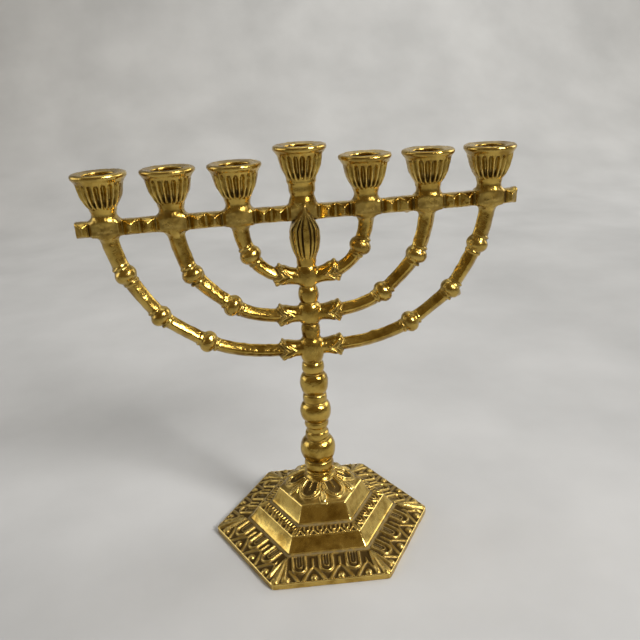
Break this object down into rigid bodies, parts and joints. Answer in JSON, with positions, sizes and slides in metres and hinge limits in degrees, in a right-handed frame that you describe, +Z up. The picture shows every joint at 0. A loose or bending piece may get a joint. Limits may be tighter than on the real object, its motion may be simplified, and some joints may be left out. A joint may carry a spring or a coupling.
{
  "type": "menorah",
  "caption": "Branched brass candle holder with fluted cups on a studded crossbar, beaded curved branches, a turned stem and a hollow stepped hexagonal base.",
  "frame": {"origin": "on the table, under the middle of the base", "axes": "+X along the crossbar to the right cup, +Y to the back, +Z up"},
  "size_m": [0.138, 0.069, 0.1362],
  "materials": {
    "base": "cast relief with dark patina in the recesses, and polished bands",
    "stem": "polished and turned, patina in the grooves",
    "branches": "cast, hand polished, grainy on top",
    "crossbar": "rough cast with worn edges",
    "cups": "cast flutes, polished rims",
    "fixings": "machined",
    "washer": "dull zinc"
  },
  "bodies": {
    "base": {"base_shell": "base"},
    "candelabrum": {"stem": "stem", "stem_bud": "stem", "crossbar": "crossbar", "branch_outer_left": "branches", "branch_middle_left": "branches", "branch_inner_left": "branches", "branch_outer_right": "branches", "branch_middle_right": "branches", "branch_inner_right": "branches", "candle_cup_outer_left": "cups", "candle_cup_middle_left": "cups", "candle_cup_inner_left": "cups", "candle_cup_centre": "cups", "candle_cup_inner_right": "cups", "candle_cup_middle_right": "cups", "candle_cup_outer_right": "cups", "threaded_stud": "fixings"},
    "washer": {"washer": "washer"},
    "nut": {"hex_nut": "fixings"}
  },
  "joints": [
    {"name": "stem_turn", "type": "hinge", "parent": "base", "child": "candelabrum", "pos_m": [0, 0, 0.0205], "axis": [0, 0, 1], "continuous": true},
    {"name": "nut_travel", "type": "slide", "parent": "candelabrum", "child": "washer", "axis": [0, 0, -1], "range_m": [0, 0.0032]},
    {"name": "nut_turn", "type": "hinge", "parent": "washer", "child": "nut", "pos_m": [0, 0, 0.012], "axis": [0, 0, -1], "range_deg": [0, 1440]}
  ],
  "couplings": [
    {"joint": "nut_turn", "follows": "nut_travel", "rad_per_m": 7854}
  ]
}
